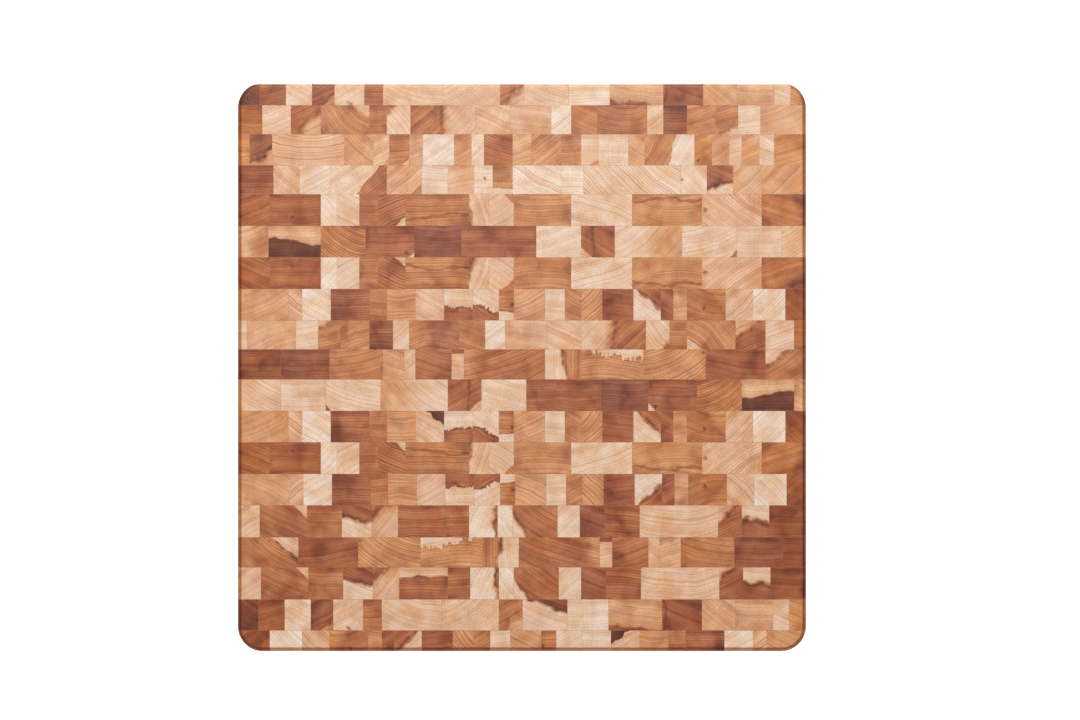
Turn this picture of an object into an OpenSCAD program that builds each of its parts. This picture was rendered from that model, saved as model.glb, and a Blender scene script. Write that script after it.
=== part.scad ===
// End-grain butcher-block cutting board.
// Planks are glued up side by side, cross-cut into slices, and the slices are stood on
// end and glued together, so every block shows its growth rings on the work face.
// Frame: origin at the middle of the underside, +X right, +Y to the back, +Z up. Millimetres.

/* [Board] */
// Width of the board, left to right
board_w = 457; // [380:1:610]
// Depth of the board, back to front
board_d = 457; // [380:1:610]
// Thickness of the board, which is the length of every block's grain
board_t = 76; // [38:1:102]

/* [Edges] */
// Radius of the four upright corners
corner_r = 20; // [8:1:50]
// Radius of the rounding along the top and bottom edges
edge_r = 4; // [1:0.5:7]

/* [Glue] */
// Thickness of every glue line
glue_t = 0.15; // [0.1:0.05:0.5]

/* [Lay-up] */
// Depth left of the back strip after the board is squared up
back_strip = 18.4; // [10:0.1:24]

/* [Hidden] */
$fn = 96;

// The lay-up below is written for this width and depth, and stretches with the board
LAYUP_W = 457;
LAYUP_D = 457;
// A block narrower than this at the board's edge is left joined to its neighbour
MIN_BLOCK = 6;

// Each glued-up plank: [thickness, widths of its boards left to right, their colours].
// Colours: c cream sapwood, p pinkish cream, h honey, t tan, r red-brown, d dark brown
PLANK_A = [25.4, [26, 41, 13, 18, 15, 22, 51, 16, 20, 46, 49, 56, 48, 36], "hrccrdtchtctpt"];
PLANK_B = [25.2,
    [41, 11, 23, 31, 14, 23, 23, 23, 21, 12, 25, 16, 13, 17, 25, 22, 10, 11, 31, 22, 26, 26],
    "hpcrthcpprhcthrprptpct"];
PLANK_C = [25.3, [25, 42, 36, 39, 38, 36, 24, 36, 27, 54, 44, 36, 35], "hhtrdrrcrhpch"];
PLANK_D = [23.3,
    [20, 23, 24, 39, 14, 19, 52, 28, 33, 16, 21, 40, 13, 19, 23, 18, 18, 39, 11],
    "tcrttcppptrrcdttcpc"];
PLANK_E = [24.9,
    [17, 21, 21, 18, 24, 15, 48, 46, 19, 36, 33, 43, 32, 27, 30, 13, 26],
    "drcdcrhhrpcprpphp"];
PLANK_G = [24.1, [35, 39, 43, 17, 9, 29, 10, 65, 29, 50, 50, 48, 49], "rdthhrcrcttdt"];
PLANK_H = [25.7,
    [19, 38, 28, 24, 21, 39, 18, 23, 12, 36, 18, 20, 28, 63, 19, 22, 30],
    "crrdprrccrcdrhrpr"];
PLANK_I = [23.2,
    [29, 21, 25, 45, 28, 21, 21, 15, 16, 39, 18, 78, 21, 21, 23, 36],
    "rpccpchcrccpcdph"];
PLANK_J = [24.9,
    [10, 18, 58, 23, 13, 16, 11, 25, 14, 10, 23, 15, 24, 16, 14, 24, 13, 40, 14, 14, 10, 14,
     12, 26],
    "hdhtptpchcrhtrcchthhchch"];

// The strips, back to front: [plank it was sliced from, end for end (1 no, -1 yes),
// how far the slice was slid to the right before the sides were trimmed]
AS_CUT = 1;
TURNED = -1;
LAYUP = [
    [PLANK_E, AS_CUT, 1], [PLANK_D, AS_CUT, 0], [PLANK_J, AS_CUT, 0], [PLANK_I, AS_CUT, 0],
    [PLANK_A, AS_CUT, 0], [PLANK_C, AS_CUT, 0], [PLANK_A, AS_CUT, 0], [PLANK_B, AS_CUT, 0],
    [PLANK_D, TURNED, 10], [PLANK_G, AS_CUT, 0], [PLANK_C, TURNED, 15], [PLANK_B, AS_CUT, 0],
    [PLANK_A, AS_CUT, 0], [PLANK_B, AS_CUT, 1], [PLANK_H, AS_CUT, -1], [PLANK_G, TURNED, 16],
    [PLANK_H, AS_CUT, 0], [PLANK_E, AS_CUT, 0], [PLANK_B, TURNED, 9]
];
STRIPS = len(LAYUP);
LAST = STRIPS - 1;

WOOD_COLOURS = [
    ["c", [0.93, 0.82, 0.67]], ["p", [0.90, 0.74, 0.60]], ["h", [0.84, 0.63, 0.42]],
    ["t", [0.75, 0.50, 0.33]], ["r", [0.64, 0.39, 0.26]], ["d", [0.46, 0.28, 0.20]]
];
GLUE_COLOUR = [0.55, 0.38, 0.22];

function wood_colour(letter) = [for (w = WOOD_COLOURS) if (w[0] == letter) w[1]][0];
function sum_to(list, n) = n == 0 ? 0 : list[n - 1] + sum_to(list, n - 1);

// Joints of strip s across the board, as distances from its left side, before stretching
function raw_joints(s) =
    let (widths = LAYUP[s][0][1], hand = LAYUP[s][1], slide = LAYUP[s][2], n = len(widths))
    hand == AS_CUT
        ? [for (i = [1 : n]) slide + sum_to(widths, i)]
        : [for (i = [n : -1 : 1]) LAYUP_W + slide - sum_to(widths, i)];
function joints(s) = [
    for (x = raw_joints(s)) if (x > MIN_BLOCK && x < LAYUP_W - MIN_BLOCK) x * board_w / LAYUP_W
];

// The plank board that covers a place x across strip s, counted from the plank's left side
function board_at(s, x) =
    let (widths = LAYUP[s][0][1], along = LAYUP[s][1] == AS_CUT
        ? x * LAYUP_W / board_w - LAYUP[s][2]
        : LAYUP_W + LAYUP[s][2] - x * LAYUP_W / board_w)
    min(len([for (i = [1 : len(widths)]) if (sum_to(widths, i) < along) i]), len(widths) - 1);

// Block edges of a strip: the left side, every joint, and the right side
function edges(s) = concat([0], joints(s), [board_w]);

// Distance from the back of the board to the front of strip s
function strip_depths(s) =
    s == LAST ? LAYUP_D
              : back_strip + sum_to([for (i = [1 : s]) LAYUP[i][0][0]], s);
function strip_front(s) = s < 0 ? 0 : strip_depths(s) * board_d / LAYUP_D;

// Cross-section of the board with its rounded long edges, centred on the Y axis
module edge_profile(width) {
    translate([-width / 2, edge_r]) square([width, board_t - 2 * edge_r]);
    translate([-width / 2 + edge_r, 0]) square([width - 2 * edge_r, board_t]);
    for (side = [-1, 1], z = [edge_r, board_t - edge_r])
        translate([side * (width / 2 - edge_r), z]) circle(edge_r);
}

// A straight run of the blank: the edge profile drawn out along Y
module profile_run(width, length) {
    translate([0, length / 2, 0])
        rotate([90, 0, 0])
            linear_extrude(length) edge_profile(width);
}

// One upright corner: the profile's half turned about the corner's centre
module corner_post() {
    rotate_extrude()
        intersection() {
            edge_profile(2 * corner_r);
            square([corner_r, board_t]);
        }
}

// The outside of the finished board, rounded at its corners and along its edges
module board_blank() {
    profile_run(board_w, board_d - 2 * corner_r);
    rotate([0, 0, 90]) profile_run(board_d, board_w - 2 * corner_r);
    for (x = [-1, 1], y = [-1, 1])
        translate([x * (board_w / 2 - corner_r), y * (board_d / 2 - corner_r), 0])
            corner_post();
}

// A box of timber or glue given by its left, right, back and front distances
module layup_box(left, right, back, front) {
    translate([left - board_w / 2, board_d / 2 - front, 0])
        cube([right - left, front - back, board_t]);
}

// Runs to the rim are cut to the blank's outline, and runs inside it are left square
module trimmed(left, right, back, front) {
    rim = max(corner_r, edge_r);
    inside = left > edge_r && right < board_w - edge_r && back > edge_r
        && front < board_d - edge_r
        && (left > rim && right < board_w - rim || back > rim && front < board_d - rim);
    if (inside)
        layup_box(left, right, back, front);
    else
        intersection() {
            layup_box(left, right, back, front);
            board_blank();
        }
}

// Half a glue line is left off each side of a block that has a neighbour there
function inset_from(edge, side) = edge <= 0 || edge >= side ? 0 : glue_t / 2;

// One strip: its blocks side by side, each a solid of its own
module strip(s) {
    across = edges(s);
    back = strip_front(s - 1);
    front = strip_front(s);
    for (b = [0 : len(across) - 2])
        color(wood_colour(LAYUP[s][0][2][board_at(s, (across[b] + across[b + 1]) / 2)]))
            trimmed(
                across[b] + inset_from(across[b], board_w),
                across[b + 1] - inset_from(across[b + 1], board_w),
                back + inset_from(back, board_d),
                front - inset_from(front, board_d));
}

// The glue lines that run right across the board, between one strip and the next
module strip_glue() {
    color(GLUE_COLOUR)
        for (s = [0 : LAST - 1])
            trimmed(0, board_w, strip_front(s) - glue_t / 2, strip_front(s) + glue_t / 2);
}

// The short glue lines between the blocks of each strip
module block_glue() {
    color(GLUE_COLOUR)
        for (s = [0 : LAST], x = joints(s))
            let (back = strip_front(s - 1), front = strip_front(s))
                trimmed(x - glue_t / 2, x + glue_t / 2,
                    back + inset_from(back, board_d), front - inset_from(front, board_d));
}

for (s = [0 : LAST])
    strip(s);
strip_glue();
block_glue();
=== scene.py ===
# %% [markdown]
# # End-grain butcher block
#
# This notebook dresses a finished CAD model of a square, thick cutting board. A workshop
# makes such a board in two glue-ups. Boards of maple or birch are first glued side by
# side into planks. Each plank is then cross-cut into slices, the slices are stood on end
# and glued into a block, and the block is squared, rounded over, sanded and oiled. So
# every piece of wood shows its growth rings on the work face, and the same row of blocks
# comes back wherever another slice of its plank was used.
#
# The CAD model is the frame: it says where every block and every glue line is, in metres.

# %% The frame
import math
import random

import bmesh
import bpy
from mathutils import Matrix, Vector


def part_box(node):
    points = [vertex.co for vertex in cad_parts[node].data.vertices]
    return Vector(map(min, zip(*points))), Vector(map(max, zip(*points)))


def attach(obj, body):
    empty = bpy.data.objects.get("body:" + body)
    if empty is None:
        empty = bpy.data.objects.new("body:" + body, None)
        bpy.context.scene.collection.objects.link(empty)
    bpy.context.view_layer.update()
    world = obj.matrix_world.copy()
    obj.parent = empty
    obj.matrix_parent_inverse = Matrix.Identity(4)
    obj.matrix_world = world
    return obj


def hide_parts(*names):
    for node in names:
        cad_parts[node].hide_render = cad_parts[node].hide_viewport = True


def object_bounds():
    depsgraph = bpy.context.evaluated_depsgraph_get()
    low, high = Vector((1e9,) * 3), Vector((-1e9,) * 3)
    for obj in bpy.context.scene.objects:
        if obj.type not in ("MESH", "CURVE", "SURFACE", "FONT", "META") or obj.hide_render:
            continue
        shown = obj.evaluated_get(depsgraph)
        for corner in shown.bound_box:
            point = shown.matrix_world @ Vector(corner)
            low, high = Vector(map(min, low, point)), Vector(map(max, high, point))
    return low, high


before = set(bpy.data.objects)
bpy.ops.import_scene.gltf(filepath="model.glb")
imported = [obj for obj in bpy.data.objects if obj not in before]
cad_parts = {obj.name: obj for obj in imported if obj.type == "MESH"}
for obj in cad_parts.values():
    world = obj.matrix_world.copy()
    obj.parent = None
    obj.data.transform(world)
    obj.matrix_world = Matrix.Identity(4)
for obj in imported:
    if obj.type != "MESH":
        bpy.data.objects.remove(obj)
CAD_BOX = [list(corner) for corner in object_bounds()]
LOW, HIGH = Vector(CAD_BOX[0]), Vector(CAD_BOX[1])
MM = 0.001
print("the board is", [round(side / MM, 1) for side in HIGH - LOW], "mm")

# %% [markdown]
# ## The blank before it is sawn
#
# Seen from close up, a board's outline is what light runs along: a straight side, a corner
# with a radius, and a small roundover that a router leaves along every long edge. It could
# be made with a Bevel modifier on a cube, but the corner and the roundover have different
# radii, and every block has to meet its neighbour on exactly the same curve. So the whole
# blank is made once, as rings of points stacked up the roundover, and sawn up afterwards.

# %% Rings of points up the blank
CORNER_R = 20 * MM
ROUND_R = 4 * MM
CORNER_STEPS = 20
ROUND_STEPS = 9


def outline(inset):
    """The rounded square at a given distance inside the board's outline."""
    radius = CORNER_R - inset
    points = []
    for corner, (sx, sy) in enumerate([(1, 1), (-1, 1), (-1, -1), (1, -1)]):
        middle_x = sx * (HIGH.x - CORNER_R)
        middle_y = sy * (HIGH.y - CORNER_R)
        for step in range(CORNER_STEPS + 1):
            turn = math.radians(90 * (corner + step / CORNER_STEPS))
            points.append((middle_x + radius * math.cos(turn),
                           middle_y + radius * math.sin(turn)))
    return points


def blank():
    """The rounded blank as a closed mesh."""
    bm = bmesh.new()
    rings = []
    turns = [math.radians(90 * step / ROUND_STEPS) for step in range(ROUND_STEPS + 1)]
    lower = [(ROUND_R * (1 - math.sin(a)), ROUND_R * (1 - math.cos(a))) for a in turns]
    upper = [(inset, HIGH.z - z) for inset, z in reversed(lower)]
    for inset, z in lower + upper:
        rings.append([bm.verts.new((x, y, z)) for x, y in outline(inset)])
    for ring, ring_above in zip(rings, rings[1:]):
        for i in range(len(ring)):
            j = (i + 1) % len(ring)
            bm.faces.new((ring[i], ring[j], ring_above[j], ring_above[i]))
    bm.faces.new(rings[-1])
    bm.faces.new(list(reversed(rings[0])))
    return bm


BLANK = blank()
print("the blank has", len(BLANK.verts), "points and", len(BLANK.faces), "faces")

# %% [markdown]
# ## The cutting list
#
# A tree is round, so a board's growth rings are arcs round the pith, the centre of the
# trunk. What a block shows depends on where in the tree its board was sawn: near the
# pith the arcs are tight, far from it they are almost straight, and inside the tree the
# pale sapwood turns to brown heartwood along a wavy border. A list of boards with those
# few facts gives each block its own look, and the slices of one plank look alike because
# they share the list. Painting every block by hand would give neither.
#
# Each board is: shade (0 darkest heartwood, 10 palest sapwood), warmth (minus is pink or
# grey, plus is orange), the clock direction in which the pith lies, how many millimetres
# off it is, and how strongly the growth rings show.

# %% One board's facts
NEAR, MID, FAR = 45, 95, 220  # mm from the board to its pith


def wood(shade, warmth, pith, reach=FAR, rings=1.0, patch=None, knot=None, vein=None,
         only=None):
    """patch (shade, warmth, clock side, share, ragged mm) is wood of another tone, and
    minus ragged is how many mm its border fades over; knot (across, up, radius mm) and
    vein (clock side, share) are dark marks; only names the strips that show the patch."""
    return dict(shade=shade, warmth=warmth, pith=pith, reach=reach, rings=rings,
                patch=patch, knot=knot, vein=vein, only=only)


# %% Planks A and B, the two that come back most
PLANK_A = [
    wood(4.3, 1.3, 11.2),
    wood(4.0, 0.6, 12, rings=1.3, knot=(0.45, 0.3, 1.8)),
    wood(9.5, 0, 7.5, MID),
    wood(8.8, 0, 1, MID, rings=1.7),
    wood(5.1, 0, 12),
    wood(4.4, 0, 5.2, rings=2.0, patch=(8.6, 0, 4.5, 0.14, -0.8)),
    wood(5.4, 0, 12, rings=1.3, vein=(6, 0.3)),
    wood(8.3, 0, 8.3, patch=(5, 0.1, 8.6, 0.22, -2.5)),
    wood(8.3, 0, 10.9, MID, rings=1.3, patch=(5.3, 0.3, 1.5, 0.16, 0.5)),
    wood(5.7, 0, 12, MID),
    wood(8.9, 0, 6.6, rings=1.2),
    wood(6.0, 0.2, 12.2, MID, vein=(12, 0.16)),
    wood(7.8, 0, 1.2, rings=1.5, knot=(0.05, 0.5, 1.8)),
    wood(4.8, 0.8, 0.6, patch=(2.3, 0.3, 2, 0.25, -5)),
]
PLANK_B = [
    wood(7.2, 0.3, 11.2, MID),
    wood(7.7, 0, 1.3, rings=1.5),
    wood(9.5, 0, 1.1, rings=1.2),
    wood(4.1, 0, 12, rings=1.4, patch=(2.8, -0.2, 9, 0.3, -5)),
    wood(5.0, 0, 6),
    wood(6.8, 0, 12, MID, rings=1.5),
    wood(8.1, 0, 7.1, patch=(0.4, 0, 1.5, 0.3, 1.8), only=(12, 19)),
    wood(8.9, -0.1, 12, patch=(4.0, 0, 6, 0.4, 3), only=(8, 12, 14)),
    wood(8.9, -0.1, 1, MID, patch=(4.2, 0, 6.6, 0.35, 2.6), only=(8, 12, 14)),
    wood(4.7, 0, 12, patch=(9, 0, 6, 0.28, 1.6), knot=(0.9, 0.5, 1.6), only=(8, 12, 14)),
    wood(6.8, 0, 11.2, MID),
    wood(8.8, 0, 12.2),
    wood(5.5, 0, 1, NEAR),
    wood(6.2, 0, 10.5, MID, rings=1.5),
    wood(3.7, 0, 12.3, MID, rings=1.5),
    wood(9.0, -0.2, 1.3, patch=(4.2, 0.2, 1.3, 0.42, -2.2)),
    wood(4.1, 0, 1),
    wood(6.8, -0.2, 11.7),
    wood(5.0, 0.3, 12.4, NEAR, rings=1.3, patch=(6, 0.7, 1.5, 0.3, -4), knot=(0.45, 0.4, 1.8)),
    wood(8.1, 0, 10.5, rings=1.4),
    wood(9.6, 0, 10.6, MID, rings=1.2),
    wood(4.0, 1.3, 1.3),
]
print(len(PLANK_A), "boards in plank A and", len(PLANK_B), "in plank B")

# %% Planks C, D and E
PLANK_C = [
    wood(7.7, 0.1, 11.4, NEAR, patch=(6.4, 0.4, 3, 0.5, -8)),
    wood(7.7, 0.2, 12, patch=(0.8, 0.5, 6.2, 0.52, -0.9)),
    wood(5.6, 0.2, 1, NEAR, rings=2.4, patch=(3.8, 0, 12.5, 0.12, -2)),
    wood(3.8, 0, 12, rings=1.3, patch=(8.5, 0, 4.5, 0.07, 0.5), knot=(0.85, 0.15, 1.8)),
    wood(2.4, -0.8, 12, MID),
    wood(3.8, 0, 12),
    wood(4.2, 0, 12),
    wood(8.9, 0, 11.4),
    wood(4.0, 0, 1, patch=(7.8, 0.1, 7.5, 0.14, -0.8), vein=(9, 0.33)),
    wood(8.7, 0, 10.6, MID, patch=(7.6, 0.5, 3, 0.42, -9)),
    wood(8.6, -0.1, 11.4, MID, patch=(4.5, 0.3, 4.5, 0.09, 0.6)),
    wood(8.7, 0, 12),
    wood(8.5, 0.1, 11, MID, rings=1.3),
]
PLANK_D = [
    wood(4.6, 1.5, 12),
    wood(8.4, 0, 11.3),
    wood(4.7, 0.1, 11.2, MID, rings=2.0, patch=(7.6, 0, 4.7, 0.34, -3)),
    wood(5.6, 0, 1.5, NEAR, patch=(8.2, 0, 1.3, 0.2, 0.6)),
    wood(4.9, 0, 12),
    wood(8.5, 0, 7.7, MID, patch=(4.6, 0.3, 10.5, 0.14, -2.5)),
    wood(8.2, 0, 10.5, rings=1.5, patch=(4.8, 0, 9.3, 0.57, -4)),
    wood(8.1, 0, 0.9),
    wood(7.7, -0.2, 12.2),
    wood(9.9, 0, 10.8),
    wood(5.2, 0, 0.7),
    wood(5.4, 0, 12, NEAR, rings=1.4, patch=(4.6, -0.8, 9, 0.6, -6)),
    wood(8.4, 0, 10.8),
    wood(3.4, -0.1, 12, rings=1.3, patch=(1.8, 0, 12, 0.3, -4)),
    wood(5.7, 0, 11.4),
    wood(5.5, 0, 11.6, patch=(8, 0.1, 5, 0.16, -2.5)),
    wood(8.7, 0, 11.7),
    wood(7.5, 0, 11.3, MID),
    wood(8.6, 0, 12),
]
PLANK_E = [
    wood(1.5, 0.7, 1, NEAR, rings=1.4),
    wood(3.6, 0.9, 11.5),
    wood(8.8, 0, 1),
    wood(2.9, 0, 11.2, patch=(6, 0.2, 4.5, 0.2, -1.5)),
    wood(8.5, 0, 11.1, rings=1.3, knot=(0.52, 0.06, 2)),
    wood(4.5, 0, 12),
    wood(8.4, 0.1, 0.6, MID, rings=1.2),
    wood(8.4, 0.1, 10.9, MID, rings=1.2),
    wood(5.4, 0.1, 11, rings=1.3, patch=(8, 0.1, 4.5, 0.26, -4)),
    wood(8.4, -0.1, 0.7, patch=(1.8, 0.2, 0.7, 0.3, -1.3), only=(18,)),
    wood(9.5, 0, 12),
    wood(7.4, 0, 12.3, rings=1.3, patch=(4.5, 0, 6.2, 0.16, -1.5)),
    wood(3.2, 0.3, 0.7, vein=(9, 0.04)),
    wood(7.3, 0, 1.3),
    wood(7.5, 0.2, 12),
    wood(8.3, 0, 0.7),
    wood(6.6, 0.4, 0.8),
]
print(len(PLANK_C), len(PLANK_D), "and", len(PLANK_E), "boards in planks C, D and E")

# %% Planks G, H, I and J
PLANK_G = [
    wood(2.7, 1, 12),
    wood(3.0, 0.1, 12),
    wood(5.3, 0.2, 11.6, MID),
    wood(7.2, 0, 0.6),
    wood(8.0, 0, 10.6, rings=1.5),
    wood(4.6, 0, 0.6, rings=1.3, patch=(3, 0, 4.5, 0.3, -4)),
    wood(8.1, 0, 0.4, rings=1.3, patch=(4.2, 0, 12, 0.18, 0.5)),
    wood(4.3, 0, 11.4, rings=1.3, patch=(6.4, 0, 9.6, 0.16, -8)),
    wood(8.8, 0, 3, patch=(5.1, 0, 2.6, 0.5, -1.6)),
    wood(6.2, 0, 6.2, MID, rings=1.3, patch=(8.8, 0, 12.4, 0.26, 5)),
    wood(6.4, 0.1, 11.1, MID, rings=1.8, knot=(0.97, 0.9, 1.5)),
    wood(3.7, 0.4, 12.3),
    wood(5.5, 0, 10.8, MID, rings=1.8, patch=(8.3, 0, 10.8, 0.28, -1.6)),
]
PLANK_H = [
    wood(8.0, 0, 11),
    wood(4.7, 0.1, 0.8, rings=1.3, patch=(8, 0, 1.5, 0.16, 0.6)),
    wood(4.7, 0.1, 12),
    wood(8.8, 0, 0.8, patch=(3.4, -0.1, 12.4, 0.5, -2)),
    wood(7.7, -0.1, 10.2, patch=(4.6, 0.1, 10.8, 0.32, -4)),
    wood(4.1, 0.1, 12, patch=(8.4, 0, 12, 0.28, -0.9), only=(17,)),
    wood(4.0, 0, 12),
    wood(9.3, 0, 10, patch=(5.2, 0.1, 3, 0.12, -1.8)),
    wood(9.2, 0, 1.7),
    wood(4.5, 0, 1.2, MID, rings=1.3, patch=(8.6, 0, 8, 0.2, -1.2)),
    wood(8.8, 0, 10.6, rings=1.2),
    wood(3.1, -0.1, 0.7),
    wood(4.0, 0.1, 12.2, rings=1.5),
    wood(8.4, 0, 12, MID, rings=1.1),
    wood(4.1, 0.2, 11.1, rings=1.4, patch=(7.8, 0, 10.5, 0.22, -2)),
    wood(8.7, 0, 12.3, patch=(3.4, 0.1, 6, 0.54, -2.2)),
    wood(3.1, 1.2, 12),
]
PLANK_I = [
    wood(3.3, 0.4, 12),
    wood(7.8, -0.1, 1.4),
    wood(9.2, 0, 11.1, rings=1.3),
    wood(9.2, 0, 10.9, rings=1.2, patch=(4.8, 0, 4.3, 0.38, 0.6)),
    wood(7.5, -0.2, 10.7, patch=(5, 0, 4.5, 0.18, 0.6)),
    wood(9.0, 0, 12.2),
    wood(8.0, 0.2, 11.5),
    wood(9.4, 0, 12, knot=(0.6, 0.55, 1.2)),
    wood(6.2, 0, 12, patch=(8.8, 0, 6, 0.22, 0.7)),
    wood(9.3, 0, 1, rings=1.2),
    wood(9.6, 0, 12),
    wood(8.8, 0, 1.4, rings=2.2),
    wood(8.9, 0, 1.5, knot=(0.04, 0.5, 1.2)),
    wood(4.0, 0, 0.8, patch=(8.8, 0, 5.4, 0.3, -1.4), knot=(0.35, 0.3, 3)),
    wood(7.8, 0, 10.6, rings=1.2),
    wood(7.1, 0.3, 10.5),
]
PLANK_J = [
    wood(6.6, 1.0, 12),
    wood(3.5, 0.4, 11, patch=(7.6, 0.2, 4.7, 0.3, -2.5)),
    wood(8.0, 0.1, 12, MID, rings=1.7),
    wood(6.8, 0.1, 1.4),
    wood(7.9, 0, 11.2, rings=1.3, patch=(6, 0, 4.5, 0.16, 0.6)),
    wood(5.1, 0, 11.8, patch=(8, 0, 4.5, 0.14, 0.6)),
    wood(7.3, -0.1, 11.4),
    wood(9.3, -0.3, 10.9),
    wood(6.8, 0.2, 11, rings=1.2),
    wood(10, 0, 10.4),
    wood(5.0, 0, 0.6, rings=1.6),
    wood(7.7, 0.3, 11.3),
    wood(6.4, 0.1, 10.7, rings=1.4),
    wood(5.8, 0, 12),
    wood(8.8, 0.1, 12, patch=(7, 0.6, 4.5, 0.15, -1)),
    wood(8.8, 0, 12),
    wood(7.4, 0.3, 1),
    wood(9.3, 0, 10, patch=(6, 0, 9.6, 0.56, 0.5)),
    wood(6.2, 1.2, 11, knot=(0.2, 0.15, 1.9)),
    wood(7.0, 0.2, 10.9),
    wood(8.4, 0, 11.5),
    wood(7.5, 0.5, 11.2),
    wood(8.8, 0, 0.8, rings=1.3),
    wood(6.6, 1.0, 11.4),
]
print(len(PLANK_G), len(PLANK_H), len(PLANK_I), "and", len(PLANK_J), "in G, H, I and J")

# %% [markdown]
# ## The lay-up
#
# When the slices are glued side by side, some go in as cut, some are turned end for end,
# some back to front. That is how a maker breaks up the pattern. Each line below is one
# strip, from the back of the board to the front: the plank it came from, whether it was
# turned left to right and front to back (-1) or not (1), and which slice of the plank it
# is. Two planks were used only once, for the third and fourth strips.

# %% Which slice lies where
LAYUP = [
    (PLANK_E, 1, 1, 0), (PLANK_D, 1, 1, 0), (PLANK_J, 1, 1, 0), (PLANK_I, 1, 1, 0),
    (PLANK_A, 1, 1, 0), (PLANK_C, 1, 1, 0), (PLANK_A, 1, -1, 1), (PLANK_B, 1, 1, 0),
    (PLANK_D, -1, -1, 1), (PLANK_G, 1, 1, 0), (PLANK_C, -1, 1, 1), (PLANK_B, 1, 1, 1),
    (PLANK_A, 1, -1, 2), (PLANK_B, 1, -1, 2), (PLANK_H, 1, 1, 0), (PLANK_G, -1, 1, 1),
    (PLANK_H, 1, 1, 1), (PLANK_E, 1, 1, 1), (PLANK_B, -1, 1, 3),
]
SLICE = 79  # mm from one slice to the next: the board's thickness and a saw cut
SAME_PLACE = 1e-6  # metres within which two points are one
STRIPS = [f"strip_{number:02d}" for number in range(1, len(LAYUP) + 1)]


def block_boxes(strip):
    """The (low, high) corners of each block of a CAD strip, left to right."""
    bm = bmesh.new()
    bm.from_mesh(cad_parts[strip].data)
    bmesh.ops.remove_doubles(bm, verts=bm.verts, dist=SAME_PLACE)
    boxes, unseen = [], set(bm.verts)
    while unseen:
        to_visit, island = [unseen.pop()], []
        while to_visit:
            point = to_visit.pop()
            island.append(point.co.copy())
            for edge in point.link_edges:
                other = edge.other_vert(point)
                if other in unseen:
                    unseen.remove(other)
                    to_visit.append(other)
        boxes.append((Vector(min(co[i] for co in island) for i in range(3)),
                      Vector(max(co[i] for co in island) for i in range(3))))
    bm.free()
    return sorted(boxes, key=lambda corners: corners[0].x)


BLOCKS = {strip: block_boxes(strip) for strip in STRIPS}
for strip, (plank, across, up, cut) in zip(STRIPS, LAYUP):
    print(strip, len(BLOCKS[strip]), "blocks of a plank of", len(plank))

# %% [markdown]
# ## Colours of the wood
#
# Maple and birch run from an almost white sapwood to a red-brown heartwood, and the oil
# that a board is fed with deepens them all. A single ramp of eleven shades holds that
# range. Colours are picked as sRGB hex values, the way they look on a screen, and one
# function turns them to the linear values that the renderer mixes. Warmth is a cast laid
# over a shade: the ratio of an orange or a greyish pink board to a plain one.

# %% From hex to linear
def linear(code):
    """The linear red, green and blue of an sRGB hex colour."""
    values = [int(code[i:i + 2], 16) / 255 for i in (1, 3, 5)]
    return [v / 12.92 if v <= 0.04045 else ((v + 0.055) / 1.055) ** 2.4 for v in values]


SHADES = ["#5E3628", "#7B4936", "#8B553F", "#9A6146", "#AA6E4E", "#BB835C", "#C8966C",
          "#D3A682", "#DCBA9E", "#E1CFBE", "#E9E1DA"]
ORANGE = linear("#D9A36F")
GREY_PINK = linear("#D9AD93")
PLAIN = linear("#D9A882")


def tone(shade, warmth):
    """The linear colour of wood of that shade and warmth."""
    step = min(int(shade), len(SHADES) - 2)
    part = shade - step
    pair = zip(linear(SHADES[step]), linear(SHADES[step + 1]))
    lean = ORANGE if warmth > 0 else GREY_PINK
    return [(a + (b - a) * part) * (1 + abs(warmth) * (leaning / plain - 1))
            for (a, b), leaning, plain in zip(pair, lean, PLAIN)]


print("sapwood", [round(v, 3) for v in tone(9, 0)], "heartwood",
      [round(v, 3) for v in tone(3, 0)])

# %% [markdown]
# ## Sawing the blank into blocks
#
# Every strip is one object that holds its blocks as separate closed solids, just as the
# CAD model has them, with the hair-thin glue line left open between them. The saw is
# bmesh's bisect: it cuts the mesh with a plane, throws one side away, and the open cut is
# then closed with a face. The blank is convex, so each cut is a single loop.

# %% One straight cut
ON_THE_CUT = 1e-7  # metres within which a point counts as lying on the saw's plane
AT_THE_SIDE = 1e-5  # metres within which a block ends at the side of the board


def saw(bm, at, keep):
    """Cuts at the point and keeps the side that keep points to."""
    geometry = bm.verts[:] + bm.edges[:] + bm.faces[:]
    cut = bmesh.ops.bisect_plane(bm, geom=geometry, dist=ON_THE_CUT, plane_co=at,
                                 plane_no=keep, clear_inner=True)
    loop = [part for part in cut["geom_cut"] if isinstance(part, bmesh.types.BMEdge)]
    if loop:
        bmesh.ops.contextual_create(bm, geom=loop)


def sawn_out(source, low, high, axis):
    """A copy of the source with both ends cut to the given limits along one axis."""
    bm = source.copy()
    keep = Vector((0, 0, 0))
    keep[axis] = 1
    if low[axis] > LOW[axis] + AT_THE_SIDE:
        saw(bm, low, keep)
    if high[axis] < HIGH[axis] - AT_THE_SIDE:
        saw(bm, high, -keep)
    return bm


# %% [markdown]
# ### What every point knows about its tree
#
# The wood will be one solid material, carved through the block like real wood, so that
# the rings on the top run down the sides as long grain. For that each point stores where
# it lies in its own tree, in millimetres: across the trunk from the pith, and along the
# trunk. It also stores the board's two tones, how far inside the second tone it lies, its
# ring spacing, where a knot or a dark vein is, and how far round the board's rounded edge
# it lies. A UV map could not do this, because it would break at every edge of the block.

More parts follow.
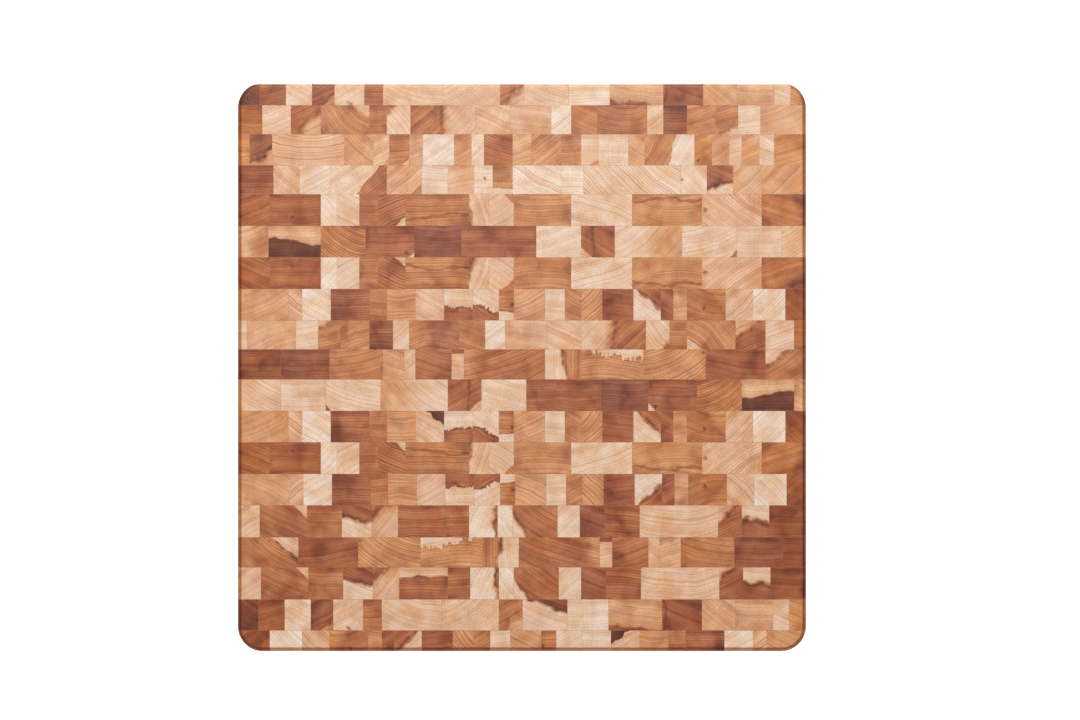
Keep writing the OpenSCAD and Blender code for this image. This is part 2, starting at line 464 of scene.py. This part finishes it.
# %% The full thickness of each plank, from its slices that were left untrimmed
PLANKS = [PLANK_A, PLANK_B, PLANK_C, PLANK_D, PLANK_E, PLANK_G, PLANK_H, PLANK_I, PLANK_J]
DEPTHS = [max(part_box(strip)[1].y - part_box(strip)[0].y
              for strip, line in zip(STRIPS, LAYUP) if line[0] is plank) for plank in PLANKS]
print("planks of", [round(depth / MM, 1) for depth in DEPTHS], "mm")


# %% Directions and the rounded edge
# How much of the edge's oil darkening and painted shade is left off the back edge, which the key
# light catches.
BACK_KEPT_PALE = 0.97


def toward(clock):
    """The direction of a clock hour, with 12 at the back of the board."""
    angle = math.radians(90 - 30 * clock)
    return math.cos(angle), math.sin(angle)


def faces_back(co):
    """How much the board's side faces the back at a point: 1 on the back side, else 0."""
    out = [max(0.0, abs(co[i]) - (HIGH[i] - CORNER_R)) for i in (0, 1)]
    reach = math.hypot(*out)
    return out[1] / reach if reach > 0 and co.y > 0 else 0.0


def edge_turn(climb):
    """How far the roundover has turned, flat (0) to upright (1); climb is 0 to 1 up it."""
    return math.acos(1 - climb) / (math.pi / 2)


def oil_and_painted_shade_share(co, climb):
    """How much of its darkening the edge shows. That darkening is oil and painted shade: the back
    edge, which the key light catches, is left pale, so it is near 0 where the back edge starts to
    turn from flat, and 1 elsewhere."""
    return 1 - BACK_KEPT_PALE * faces_back(co) * (1 - climb ** 2)


print("3 o'clock points to", [round(part, 3) for part in toward(3)])

# %% [markdown]
# Boards that were cut from different trees must not share a pattern, so each gets a number
# and its own stretch of the noise, far along the trunk from the others. Slices of the same
# plank lie one slice apart on that stretch, which is why they look alike but not the same.
# A board without a patch, a knot or a vein gets one that lies far outside the block.

# %% Facts at a point of a block
TREES_APART = 211  # mm along the trunk
YEAR_MM = (1.5, 2.3)  # the narrowest and widest spacing of the growth rings
TONE_LUCK = 0.12  # shades up or down from one board to the next
NO_PATCH, NO_PATCH_MM = (5, 0, 0, 0, 1), -50
NO_KNOT = (9, 9, 1)
NO_VEIN = (0, 40)


def block_facts(strip, index):
    """Returns a function that gives the facts at a point of that block."""
    plank, across, up, cut = LAYUP[STRIPS.index(strip)]
    which = PLANKS.index(plank)
    order = plank if across > 0 else list(reversed(plank))
    board = order[index]
    low, high = BLOCKS[strip][index]
    half_x, half_y = (high.x - low.x) / 2, DEPTHS[which] / 2
    middle_x = (low.x + high.x) / 2
    middle_y = low.y + half_y if strip == STRIPS[0] else high.y - half_y
    number = sum(len(p) for p in PLANKS[:which]) + plank.index(board)
    luck = random.Random(number)
    pith = [c * board["reach"] for c in toward(board["pith"])]
    spacing = luck.uniform(*YEAR_MM)
    along = cut * SLICE + number * TREES_APART
    shows = board["patch"] and (not board["only"] or STRIPS.index(strip) + 1 in board["only"])
    shade, warmth, side, share, ragged = board["patch"] if shows else NO_PATCH
    plain = tone(board["shade"] + luck.uniform(-TONE_LUCK, TONE_LUCK), board["warmth"])
    other = tone(shade, warmth)
    patch_x, patch_y = toward(side)
    spread = (abs(patch_x) * half_x + abs(patch_y) * half_y) / MM
    knot_x, knot_y, knot_r = board["knot"] or NO_KNOT
    vein_side, vein_share = board["vein"] or NO_VEIN
    vein_x, vein_y = toward(vein_side)
    vein_spread = (abs(vein_x) * half_x + abs(vein_y) * half_y) / MM

    def facts(co):
        """The facts at one point, each under the name that the material reads it by."""
        u, v = (co.x - middle_x) * across / MM, (co.y - middle_y) * up / MM
        climb = min(1.0, max(0.0, min(co.z - LOW.z, HIGH.z - co.z) / ROUND_R))
        return {
            "log": (u - pith[0], v - pith[1], along + co.z * across * up / MM),
            "plain_wood": (*plain, 1),
            "patch_wood": (*other, 1),
            "patch": (u * patch_x + v * patch_y - spread * (1 - 2 * share)
                      if shows else NO_PATCH_MM),
            "figure": (spacing, board["rings"], ragged),
            "reach": board["reach"],
            "knot": ((u - (2 * knot_x - 1) * half_x / MM) / knot_r,
                     (v - (2 * knot_y - 1) * half_y / MM) / knot_r, 0),
            "vein": u * vein_x + v * vein_y - vein_spread * (1 - 2 * vein_share),
            # rim carries the edge's darkening, both oil and painted shade, with the lit back edge
            # left pale.
            "rim": edge_turn(climb) * oil_and_painted_shade_share(co, climb),
        }

    return facts


print("a point of the first block:", block_facts("strip_01", 0)(BLOCKS["strip_01"][0][1]))

# %% [markdown]
# ### From solids to shown strips
#
# A face is shaded smooth only where the real surface is curved. Along the borders of the
# flat faces the edges are marked sharp, so the flats stay truly flat in the light and the
# roundover still reads as a curve.

# %% Building the strips
KINDS = {"log": "FLOAT_VECTOR", "plain_wood": "FLOAT_COLOR", "patch_wood": "FLOAT_COLOR",
         "patch": "FLOAT", "figure": "FLOAT_VECTOR", "reach": "FLOAT",
         "knot": "FLOAT_VECTOR", "vein": "FLOAT", "rim": "FLOAT"}
FIELD = {"FLOAT_VECTOR": "vector", "FLOAT_COLOR": "color", "FLOAT": "value"}


FLAT = 0.9999  # the least that a flat face's normal points along one axis


def is_flat(face):
    """Whether the face lies square to one of the board's three directions."""
    return max(abs(part) for part in face.normal) > FLAT


def strip_mesh(strip):
    """All the blocks of a strip in one mesh, with their facts stored on the points."""
    run = sawn_out(BLANK, BLOCKS[strip][0][0], BLOCKS[strip][-1][1], 1)
    whole = bmesh.new()
    known = []
    for index, (low, high) in enumerate(BLOCKS[strip]):
        block = sawn_out(run, low, high, 0)
        block.normal_update()
        facts = block_facts(strip, index)
        copies = {point: whole.verts.new(point.co) for point in block.verts}
        known += [facts(point.co) for point in block.verts]
        for face in block.faces:
            whole.faces.new([copies[point] for point in face.verts]).smooth = True
        block.free()
    run.free()
    whole.normal_update()
    for edge in whole.edges:
        edge.smooth = not any(is_flat(face) for face in edge.link_faces)
    mesh = bpy.data.meshes.new(strip + "_blocks")
    whole.to_mesh(mesh)
    whole.free()
    for name, kind in KINDS.items():
        values = [row[name] for row in known]
        flat = values if kind == "FLOAT" else [v for value in values for v in value]
        mesh.attributes.new(name, kind, "POINT").data.foreach_set(FIELD[kind], flat)
    return mesh


STRIP_PIECES = []
for strip in STRIPS:
    mesh = strip_mesh(strip)
    piece = bpy.data.objects.new(mesh.name, mesh)
    bpy.context.scene.collection.objects.link(piece)
    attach(piece, "root")
    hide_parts(strip)
    STRIP_PIECES.append(piece)
BLANK.free()
print(len(STRIP_PIECES), "strips of", sum(len(p.data.polygons) for p in STRIP_PIECES), "faces")

# %% [markdown]
# ## Oiled hardwood, cut across the grain
#
# Sanded end-grain maple and birch under mineral oil looks satin: the oil fills the pores,
# so the wood is deeper in colour and has a soft, wide highlight. What the eye gets up
# close is, from large to small: cloudy tone, bands and thin dark lines where each year's
# growth ends, fine pale rays that run out from the pith, and pores the size of a pinhead.
#
# The whole of it is built on one number, the distance from the pith. A Wave texture could
# draw rings too, but with a distance of our own the rings can wander, change their width
# and carry the border of the heartwood.
#
# Sockets are given by name or by number. On a Map Range node 0 is the value, 1 and 2 are
# the range it comes from, and 3 and 4 the range it goes to. On a Mix node 6 and 7 are the
# two colours.

# %% A helper for nodes
def add(tree, kind, inputs=None, **settings):
    """Adds a node with its settings; inputs maps a socket to a value or to a node."""
    node = tree.nodes.new("ShaderNode" + kind)
    for name, value in settings.items():
        setattr(node, name, value)
    for socket, value in (inputs or {}).items():
        if isinstance(value, bpy.types.Node):
            value = value.outputs[0]
        if isinstance(value, bpy.types.NodeSocket):
            tree.links.new(value, node.inputs[socket])
        else:
            node.inputs[socket].default_value = value
    return node


def new_material(name):
    """An empty material and its Principled shader."""
    material = bpy.data.materials.new(name)
    material.use_nodes = True
    tree = material.node_tree
    tree.nodes.clear()
    shader = add(tree, "BsdfPrincipled")
    add(tree, "OutputMaterial", {"Surface": shader})
    return material, tree, shader


# %% [markdown]
# Millimetres are the unit of every pattern below, because the point facts are in
# millimetres: a noise texture of scale 1/24 has clouds about 24 mm across. Along the
# trunk every pattern is stretched, since wood changes slowly along its grain, and that
# is what turns dots on the top into streaks on the sides.

# %% The distance from the pith, with the tree's own wander
wood_material, tree, wood_shader = new_material("oiled_end_grain_maple")
log = add(tree, "Attribute", attribute_name="log").outputs["Vector"]
across_trunk = add(tree, "VectorMath", {0: log, 1: (1, 1, 0)}, operation="MULTIPLY")
from_pith = add(tree, "VectorMath", {0: across_trunk}, operation="LENGTH").outputs["Value"]
slow_along = add(tree, "VectorMath", {0: log, 1: (1, 1, 0.10)}, operation="MULTIPLY")
wander = add(tree, "TexNoise", {"Vector": slow_along, "Scale": 1 / 24, "Detail": 2})
ripple = add(tree, "TexNoise", {"Vector": slow_along, "Scale": 1 / 5, "Detail": 1})
wander_mm = add(tree, "Math", {0: wander, 1: 5.0, 2: from_pith}, operation="MULTIPLY_ADD")
ring_place = add(tree, "Math", {0: ripple, 1: 0.7, 2: wander_mm}, operation="MULTIPLY_ADD")

# %% One line where each year's growth ends
figure = add(tree, "Attribute", attribute_name="figure").outputs["Vector"]
figure = add(tree, "SeparateXYZ", {0: figure})
spacing, ring_strength, raggedness = figure.outputs
years = add(tree, "Math", {0: ring_place, 1: spacing}, operation="DIVIDE")
uneven = add(tree, "TexNoise", {"W": years, "Scale": 0.31, "Detail": 1},
             noise_dimensions="1D")
years = add(tree, "Math", {0: uneven, 1: 1.3, 2: years}, operation="MULTIPLY_ADD")
season = add(tree, "Math", {0: years}, operation="FRACT")
late_wood = add(tree, "MapRange", {0: season, 1: 0.25, 2: 0.8}, interpolation_type="SMOOTHSTEP")
winter = add(tree, "MapRange", {0: season, 1: 0.85, 2: 1.0, 3: 1, 4: 0})
ring_line = add(tree, "Math", {0: late_wood, 1: winter}, operation="MULTIPLY")
good_years = add(tree, "TexNoise", {"W": years, "Scale": 0.7, "Detail": 0},
                 noise_dimensions="1D")
good_years = add(tree, "MapRange", {0: good_years, 1: 0.3, 2: 0.7, 3: 0.4, 4: 1.0})
ring_line = add(tree, "Math", {0: ring_line, 1: good_years}, operation="MULTIPLY")
ring_line = add(tree, "Math", {0: ring_line, 1: ring_strength}, operation="MULTIPLY")
print("rings are drawn with", len(tree.nodes), "nodes")

# %% [markdown]
# The border of the heartwood is never a straight line. A coarse noise pushes it back and
# forth into bays, and where a board calls for it a fine one cuts ragged teeth along the
# rays. Other borders fade like smoke, over the millimetres that the board gives. A noise
# is 0.5 on average, so half of its push is taken off again to leave the border in place.

# %% The border between the two tones
BORDER_WANDER = 8.0  # mm
inside_mm = add(tree, "Attribute", attribute_name="patch").outputs["Fac"]
inside_mm = add(tree, "Math", {0: wander, 1: BORDER_WANDER, 2: inside_mm},
                operation="MULTIPLY_ADD")
inside_mm = add(tree, "Math", {0: inside_mm, 1: BORDER_WANDER / 2}, operation="SUBTRACT")
rough_or_soft = add(tree, "Math", {0: raggedness}, operation="ABSOLUTE")
bays = add(tree, "TexNoise", {"Vector": slow_along, "Scale": 1 / 9, "Detail": 2,
                              "Roughness": 0.45})
bays = add(tree, "MapRange", {0: bays, 1: 0.25, 2: 0.75, 3: -1.5, 4: 1.5})
bay_size = add(tree, "MapRange", {0: rough_or_soft, 1: 0.5, 2: 2.5, 3: 0.4, 4: 1.8})
inside_mm = add(tree, "Math", {0: bays, 1: bay_size, 2: inside_mm}, operation="MULTIPLY_ADD")
across_rays = add(tree, "VectorMath", {0: across_trunk}, operation="NORMALIZE")
reach = add(tree, "Attribute", attribute_name="reach").outputs["Fac"]
ray_place = add(tree, "VectorMath", {0: across_rays, "Scale": reach}, operation="SCALE")
teeth = add(tree, "TexNoise", {"Vector": ray_place, "Scale": 1 / 2.0, "Detail": 1})
teeth = add(tree, "MapRange", {0: teeth, 1: 0.2, 2: 0.8, 3: -1, 4: 1})
tooth_size = add(tree, "MapRange", {0: raggedness, 1: 2.2, 2: 6, 3: 0, 4: 8})
inside_mm = add(tree, "Math", {0: teeth, 1: tooth_size, 2: inside_mm},
                operation="MULTIPLY_ADD")
crisp = add(tree, "Math", {0: raggedness, 1: 0.2, 2: 0.15}, operation="MULTIPLY_ADD")
faded = add(tree, "Math", {0: raggedness, 1: -1.0}, operation="MULTIPLY")
softness = add(tree, "Math", {0: crisp, 1: faded}, operation="MAXIMUM")
hardness = add(tree, "Math", {0: softness, 1: -1.0}, operation="MULTIPLY")
in_patch = add(tree, "MapRange", {0: inside_mm, 1: hardness, 2: softness},
               interpolation_type="SMOOTHSTEP")
plain_wood = add(tree, "Attribute", attribute_name="plain_wood").outputs["Color"]
patch_wood = add(tree, "Attribute", attribute_name="patch_wood").outputs["Color"]
body_tone = add(tree, "Mix", {0: in_patch, 6: plain_wood, 7: patch_wood}, data_type="RGBA")
body_tone = body_tone.outputs[2]
print("the border wanders over", BORDER_WANDER, "mm")

# %% [markdown]
# A thin dark rim follows the border where the tree walled off its old wood. It lies on
# the darker side, so the two tones are compared first, and the bigger their difference
# the stronger it is.

# %% The dark rim
plain_green = add(tree, "SeparateColor", {0: plain_wood}).outputs[1]
patch_green = add(tree, "SeparateColor", {0: patch_wood}).outputs[1]
contrast = add(tree, "Math", {0: plain_green, 1: patch_green}, operation="SUBTRACT")
dark_side = add(tree, "Math", {0: contrast}, operation="SIGN")
contrast = add(tree, "Math", {0: contrast}, operation="ABSOLUTE")
contrast = add(tree, "MapRange", {0: contrast, 1: 0.06, 2: 0.30})
past_border = add(tree, "Math", {0: inside_mm, 1: dark_side}, operation="MULTIPLY")
past_border = add(tree, "Math", {0: softness, 1: -1.0, 2: past_border},
                  operation="MULTIPLY_ADD")
off_rim = add(tree, "Math", {0: past_border}, operation="ABSOLUTE")
rim_width = add(tree, "Math", {0: softness, 1: 0.7, 2: 1.5}, operation="MULTIPLY_ADD")
dark_rim = add(tree, "MapRange", {0: off_rim, 1: 0, 2: rim_width, 3: 1, 4: 0},
               interpolation_type="SMOOTHSTEP")
pigment = add(tree, "TexNoise", {"Vector": slow_along, "Scale": 1 / 4, "Detail": 3})
pigment = add(tree, "MapRange", {0: pigment, 1: 0.38, 2: 0.60, 3: 0.15, 4: 1})
walled = add(tree, "MapRange", {0: rough_or_soft, 1: 0.4, 2: 1.6, 3: 0.1, 4: 0.9})
smoky = add(tree, "MapRange", {0: rough_or_soft, 1: 3.2, 2: 6.5, 3: 1.0, 4: 0.2})
for part in (contrast, pigment, walled, smoky):
    dark_rim = add(tree, "Math", {0: dark_rim, 1: part}, operation="MULTIPLY")
print("with the border and its rim the wood has", len(tree.nodes), "nodes")

# %% [markdown]
# Colour is then stained in layers. Each layer multiplies what is under it, the way oil
# and dark wood take light away, so a pale block keeps its glow and a dark one gets deeper.
# A layer is how much of it there is, from 0 to 1, and its tint. Multiplied layers give the
# same in any order, so they are only listed here, and one loop lays them on at the end.

# %% Clouds, bands and ring lines
stains = []
body_green = add(tree, "SeparateColor", {0: body_tone}).outputs[1]
darkness = add(tree, "MapRange", {0: body_green, 1: 0.60, 2: 0.12})
clouds = add(tree, "TexNoise", {"Vector": slow_along, "Scale": 1 / 15, "Detail": 3,
                                "Roughness": 0.5})
clouds = add(tree, "MapRange", {0: clouds, 1: 0.42, 2: 0.66})
cloud_depth = add(tree, "Math", {0: darkness, 1: 0.32, 2: 0.40}, operation="MULTIPLY_ADD")
clouds = add(tree, "Math", {0: clouds, 1: cloud_depth}, operation="MULTIPLY")
stains.append((clouds, (0.74, 0.58, 0.46)))
honey = add(tree, "TexNoise", {"Vector": slow_along, "Scale": 1 / 19, "Detail": 2})
honey = add(tree, "MapRange", {0: honey, 1: 0.42, 2: 0.65, 3: 0, 4: 0.9})
stains.append((honey, (0.94, 0.79, 0.61)))
bands = add(tree, "TexNoise", {"W": ring_place, "Scale": 1 / 5, "Detail": 2},
            noise_dimensions="1D")
bands = add(tree, "MapRange", {0: bands, 1: 0.42, 2: 0.72})
band_depth = add(tree, "Math", {0: darkness, 1: 0.55, 2: 0.42}, operation="MULTIPLY_ADD")
bands = add(tree, "Math", {0: bands, 1: band_depth}, operation="MULTIPLY")
stains.append((bands, (0.74, 0.56, 0.44)))
line_depth = add(tree, "Math", {0: darkness, 1: 0.35, 2: 0.58}, operation="MULTIPLY_ADD")
line_depth = add(tree, "Math", {0: ring_line, 1: line_depth}, operation="MULTIPLY")
stains.append((line_depth, (0.86, 0.60, 0.39)))
dark_lines = add(tree, "Math", {0: ring_line, 1: darkness}, operation="MULTIPLY")
dark_lines = add(tree, "Math", {0: dark_lines, 1: 0.35}, operation="MULTIPLY")
stains.append((dark_lines, (0.72, 0.54, 0.44)))
print(len(stains), "stains so far: clouds, honey, bands and ring lines")

# %% [markdown]
# Heartwood is uneven where the sapwood is calm: oil and resin sit in it in broad dark
# clouds, and between them the wood glows. A tint above 1 makes wood lighter than its tone.
# The clouds are soft and about 17 mm wide, because small hard ones look like burl.

# %% Dark clouds, glow and the border's rim
blotches = add(tree, "TexNoise", {"Vector": slow_along, "Scale": 1 / 17, "Detail": 2,
                                  "Roughness": 0.45, "Distortion": 0.3})
deep = add(tree, "MapRange", {0: blotches, 1: 0.50, 2: 0.72},
           interpolation_type="SMOOTHSTEP")
deep = add(tree, "Math", {0: deep, 1: darkness}, operation="MULTIPLY")
stains.append((deep, (0.62, 0.49, 0.44)))
glow = add(tree, "MapRange", {0: blotches, 1: 0.52, 2: 0.32},
           interpolation_type="SMOOTHSTEP")
glow = add(tree, "Math", {0: glow, 1: darkness}, operation="MULTIPLY")
stains.append((glow, (1.20, 1.27, 1.19)))
stains.append((dark_rim, (0.40, 0.24, 0.16)))
print(len(stains), "stains with the dark clouds, the glow and the border's rim")

# %% [markdown]
# Rays are sheets of cells that run from the pith to the bark. On end grain they are pale
# hairlines at right angles to the rings. Dividing the place by its distance leaves only
# the direction, so a noise of that is constant along each ray. The stain goes on the wood
# between the rays, which leaves them pale. Real rays and pores are a tenth of a millimetre
# wide, too fine to show, so both are drawn about 1 mm wide here.

# %% Rays and pores
rays = add(tree, "TexNoise", {"Vector": ray_place, "Scale": 1 / 0.9, "Detail": 1})
rays = add(tree, "MapRange", {0: rays, 1: 0.45, 2: 0.72, 3: 0, 4: 0.26})
stains.append((rays, (0.88, 0.75, 0.63)))
fibre = add(tree, "VectorMath", {0: log, 1: (1, 1, 0.03)}, operation="MULTIPLY")
pores = add(tree, "TexNoise", {"Vector": fibre, "Scale": 1.0, "Detail": 2, "Roughness": 0.7})
pore_stain = add(tree, "MapRange", {0: pores, 1: 0.42, 2: 0.72, 3: 0, 4: 0.62})
stains.append((pore_stain, (0.72, 0.55, 0.43)))
print(len(stains), "stains with rays and pores")

# %% [markdown]
# A knot or a bark pocket is nearly black, a mineral vein is brown, and none of them has a
# clean outline. The knot fact is the place measured in knot radii, so one threshold serves
# every size.

# %% Knots and veins
VEIN_WANDER = 16.0  # mm
knot = add(tree, "Attribute", attribute_name="knot").outputs["Vector"]
off_knot = add(tree, "VectorMath", {0: knot}, operation="LENGTH").outputs["Value"]
gnarl = add(tree, "TexNoise", {"Vector": slow_along, "Scale": 1 / 2.5, "Detail": 3})
off_knot = add(tree, "Math", {0: gnarl, 1: 3.4, 2: off_knot}, operation="MULTIPLY_ADD")
in_knot = add(tree, "MapRange", {0: off_knot, 1: 3.3, 2: 1.7, 3: 0, 4: 0.95},
              interpolation_type="SMOOTHSTEP")
stains.append((in_knot, (0.38, 0.25, 0.19)))
vein_mm = add(tree, "Attribute", attribute_name="vein").outputs["Fac"]
vein_mm = add(tree, "Math", {0: wander, 1: VEIN_WANDER, 2: vein_mm}, operation="MULTIPLY_ADD")
vein_mm = add(tree, "Math", {0: vein_mm, 1: VEIN_WANDER / 2}, operation="SUBTRACT")
off_vein = add(tree, "Math", {0: vein_mm}, operation="ABSOLUTE")
vein_width = add(tree, "MapRange", {0: bays, 1: -0.5, 2: 1.0, 3: 1.2, 4: 3.8})
in_vein = add(tree, "MapRange", {0: off_vein, 1: 0.2, 2: vein_width, 3: 0.9, 4: 0},
              interpolation_type="SMOOTHSTEP")
stains.append((in_vein, (0.58, 0.45, 0.37)))
print(len(stains), "stains with knots and veins")

# %% [markdown]
# Along the roundover the cut turns from end grain to long grain, hands rub it, and oil builds up
# there. The edge is therefore made darker and more orange, like toffee, fading again down the side.
# Part of that darkening is painted shade for the edges that face away from the key light, and the
# back edge, which the key light catches, is left pale.
# Mineral oil has an IOR of about 1.47. The sanding leaves the highlight weak, so the specular level
# is below its usual 0.5.

# %% The darkened edge: oil and painted shade
FADE_DEPTH = 16 * MM
rim = add(tree, "Attribute", attribute_name="rim").outputs["Fac"]
place = add(tree, "TexCoord").outputs["Object"]
height = add(tree, "SeparateXYZ", {0: place}).outputs["Z"]
half = (HIGH.z - LOW.z) / 2
from_middle = add(tree, "Math", {0: height, 1: half}, operation="SUBTRACT")
from_middle = add(tree, "Math", {0: from_middle}, operation="ABSOLUTE")
fade = add(tree, "MapRange", {0: from_middle, 1: half - FADE_DEPTH, 2: half - ROUND_R,
                              3: 0.35, 4: 1.0}, interpolation_type="SMOOTHSTEP")
edge_darkening_mask = add(tree, "MapRange", {0: rim, 1: 0.0, 2: 0.2}, interpolation_type="SMOOTHSTEP")
past_turn = add(tree, "MapRange", {0: rim, 1: 0.40, 2: 0.75, 3: 1, 4: 0.65})
oil_and_painted_edge_shade = add(tree, "Math", {0: edge_darkening_mask, 1: fade}, operation="MULTIPLY")
oil_and_painted_edge_shade = add(tree, "Math", {0: oil_and_painted_edge_shade, 1: past_turn}, operation="MULTIPLY")
# This edge stain is oil build-up and painted shade: it darkens the roundover and the top and bottom
# of the sides, but not the lit back edge.
stains.append((oil_and_painted_edge_shade, (0.57, 0.35, 0.19)))
colour = body_tone
for amount, tint in stains:
    layer = add(tree, "Mix", {0: amount, 6: colour, 7: (*tint, 1)}, data_type="RGBA",
                blend_type="MULTIPLY", clamp_factor=True)
    colour = layer.outputs[2]
tree.links.new(colour, wood_shader.inputs["Base Color"])
print(len(stains), "stains laid on")

# %% The finish
satin = add(tree, "MapRange", {0: pores, 1: 0.3, 2: 0.7, 3: 0.40, 4: 0.52})
tree.links.new(satin.outputs[0], wood_shader.inputs["Roughness"])
relief = add(tree, "Math", {0: ring_line, 1: 0.5, 2: pores}, operation="MULTIPLY_ADD")
bump = add(tree, "Bump", {"Height": relief, "Strength": 0.25, "Distance": 0.08 * MM})
tree.links.new(bump.outputs[0], wood_shader.inputs["Normal"])
wood_shader.inputs["IOR"].default_value = 1.47
wood_shader.inputs["Specular IOR Level"].default_value = 0.35
for piece in STRIP_PIECES:
    piece.data.materials.append(wood_material)
print("the wood has", len(tree.nodes), "nodes and is on", len(STRIP_PIECES), "strips")

# %% [markdown]
# ## The glue lines
#
# Yellow wood glue dries to a clear amber film. After sanding, all that shows is a hairline
# between the blocks, a little darker than the pale wood and a little lighter than the
# dark. The CAD sheets already have the right shape, so they only get a material: satin
# amber with the faint clouding, about 6 mm wide, of squeezed-out glue.

# %% Dried wood glue
GLUE_SHEETS = ("strip_glue", "block_glue")
glue_material, tree, glue_shader = new_material("dried_amber_wood_glue")
place = add(tree, "TexCoord").outputs["Object"]
clouding = add(tree, "TexNoise", {"Vector": place, "Scale": 1 / (6 * MM), "Detail": 3})
amber = add(tree, "Mix", {0: clouding, 6: (*linear("#6E452B"), 1), 7: (*linear("#A5724A"), 1)},
            data_type="RGBA")
tree.links.new(amber.outputs[2], glue_shader.inputs["Base Color"])
sheen = add(tree, "MapRange", {0: clouding, 3: 0.32, 4: 0.5})
tree.links.new(sheen.outputs[0], glue_shader.inputs["Roughness"])
ridges = add(tree, "Bump", {"Height": clouding, "Strength": 0.2, "Distance": 0.05 * MM})
tree.links.new(ridges.outputs[0], glue_shader.inputs["Normal"])
for name in GLUE_SHEETS:
    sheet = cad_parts[name]
    sheet.data.materials.clear()
    sheet.data.materials.append(glue_material)
print("glue is on", " and ".join(GLUE_SHEETS))

# %% [markdown]
# ## Stage, light and camera
#
# A product shot of a board is made on a white sweep, from straight above, with one large
# soft light over the back edge and a weak one in front. They are wide so that the wood has
# no hard glare, and the main one stands behind the board so that the back edge catches it
# and the front edge falls off. The sweep also gives off light itself, which keeps it white.

# %% The floor and the white room
FLOOR_HALF = 8.0  # metres
ROOM_LIGHT, ROOM_SEEN = 0.36, 1.15
floor_mesh = bpy.data.meshes.new("floor")
corners = [(sx * FLOOR_HALF, sy * FLOOR_HALF, 0) for sx, sy in [(-1, -1), (1, -1), (1, 1), (-1, 1)]]
floor_mesh.from_pydata(corners, [], [(0, 1, 2, 3)])
floor = bpy.data.objects.new("floor", floor_mesh)
bpy.context.scene.collection.objects.link(floor)
floor_material, tree, floor_shader = new_material("matt_white_sweep")
floor_shader.inputs["Base Color"].default_value = (0.9, 0.9, 0.9, 1)
floor_shader.inputs["Roughness"].default_value = 0.9
floor_shader.inputs["Emission Color"].default_value = (1, 1, 1, 1)
floor_shader.inputs["Emission Strength"].default_value = 0.72
floor_mesh.materials.append(floor_material)

world = bpy.data.worlds.new("white_room")
bpy.context.scene.world = world
world.use_nodes = True
tree = world.node_tree
tree.nodes.clear()
seen = add(tree, "LightPath").outputs["Is Camera Ray"]
strength = add(tree, "MapRange", {0: seen, 3: ROOM_LIGHT, 4: ROOM_SEEN})
room = add(tree, "Background", {"Color": (1, 1, 1, 1), "Strength": strength})
add(tree, "OutputWorld", {"Surface": room})
bpy.context.scene.view_settings.view_transform = "Standard"
print("floor and room are white")


# %% The soft lights
def soft_light(name, place, aim, size, power):
    """A square soft box at a place, turned to face a point."""
    lamp = bpy.data.lights.new(name, "AREA")
    lamp.size, lamp.energy = size, power
    box = bpy.data.objects.new(name, lamp)
    box.location = place
    box.rotation_euler = (Vector(aim) - Vector(place)).to_track_quat("-Z", "Y").to_euler()
    box.visible_camera = False
    bpy.context.scene.collection.objects.link(box)
    return box


MIDDLE = (LOW + HIGH) / 2
KEY_PLACE, KEY_SIZE, KEY_WATTS = (0.0, 1.5, 2.6), 1.8, 88
FILL_PLACE, FILL_SIZE, FILL_WATTS = (-1.2, -2.2, 1.6), 1.6, 12
soft_light("key_over_the_back", KEY_PLACE, MIDDLE, KEY_SIZE, KEY_WATTS)
soft_light("fill_from_the_front", FILL_PLACE, MIDDLE, FILL_SIZE, FILL_WATTS)
print("two soft lights of", KEY_WATTS, "and", FILL_WATTS, "watts")

# %% [markdown]
# The camera hangs straight over the board with a long lens, as for a catalogue, so that the
# sides stay hidden and the rows stay parallel. How high it hangs follows from how many
# metres of the board's top plane the picture is to be wide.

# %% The camera
FIELD_WIDE = 0.8670  # metres across the picture, at the height of the board's top
OFF_X, OFF_Y = 0.0145, 0.0056  # metres that the camera hangs off the board's middle
lens = bpy.data.cameras.new("camera")
lens.lens, lens.sensor_width = 100, 36
camera = bpy.data.objects.new("camera", lens)
camera.location = (OFF_X, OFF_Y, HIGH.z + FIELD_WIDE * lens.lens / lens.sensor_width)
bpy.context.scene.collection.objects.link(camera)
bpy.context.scene.camera = camera
print("the camera is", round(camera.location.z, 3), "m up")
